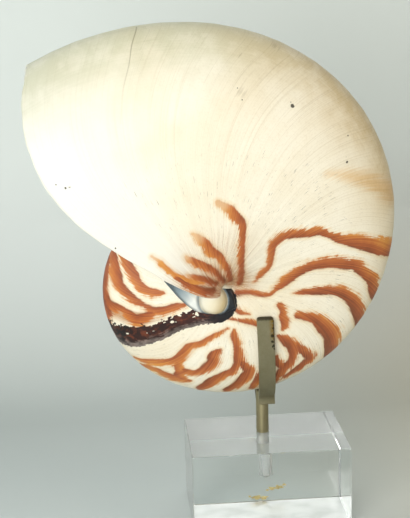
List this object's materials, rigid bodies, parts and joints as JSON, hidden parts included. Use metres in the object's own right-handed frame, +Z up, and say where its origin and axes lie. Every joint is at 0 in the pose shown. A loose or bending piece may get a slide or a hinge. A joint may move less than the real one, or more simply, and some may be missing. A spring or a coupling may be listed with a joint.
{
  "type": "nautilus shell on a stand",
  "caption": "Whole coiled nautilus shell with an open body chamber, held upright by a flat-pronged metal clip on a rod set in a clear acrylic block.",
  "frame": {"origin": "middle of the block's underside, on the surface that the part stands on", "axes": "+Z up, +X to the right and -Y to the front, square to the block's sides; the shell's near flank faces -Y"},
  "size_m": [0.1392, 0.0693, 0.2],
  "materials": {
    "shell": "porcelain-like shell, cream white with rust-brown flame stripes near the umbilicus, pearly inside",
    "clip_metal": "dull bronze-grey metal with a brown patina",
    "clear_acrylic": "clear polished acrylic"
  },
  "bodies": {
    "root": {"shell": "shell", "front_prong": "clip_metal", "back_prong": "clip_metal", "post": "clip_metal", "block": "clear_acrylic"}
  },
  "joints": []
}
